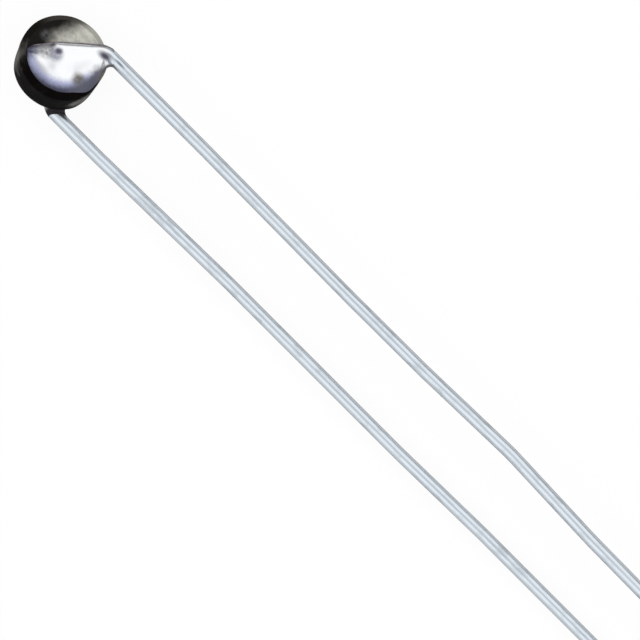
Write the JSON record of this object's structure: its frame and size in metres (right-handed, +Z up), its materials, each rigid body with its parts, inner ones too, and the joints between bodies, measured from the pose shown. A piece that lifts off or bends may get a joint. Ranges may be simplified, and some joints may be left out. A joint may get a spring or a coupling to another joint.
{
  "type": "disc thermistor",
  "caption": "Small bare ceramic disc thermistor, dark and glossy, with a tinned wire soldered across each face and two long parallel leads.",
  "frame": {"origin": "under the middle of the whole part, on the surface that the part lies on", "axes": "+X along the leads, from the disc to their free ends; +Y across the leads, towards the front lead; +Z up from the surface that the part lies on"},
  "size_m": [0.0394, 0.0029, 0.002],
  "materials": {
    "ceramic": "dark sintered ceramic, smooth and faintly glossy",
    "electrode": "thin fired metal, dulled to a warm grey",
    "tinned_wire": "tinned copper wire, bright, with fine drawing lines",
    "solder": "bright solidified solder with small flux marks"
  },
  "bodies": {
    "root": {"ceramic_disc": "ceramic", "front_electrode": "electrode", "back_electrode": "electrode", "front_lead": "tinned_wire", "back_lead": "tinned_wire", "front_solder": "solder", "back_solder": "solder"}
  },
  "joints": []
}
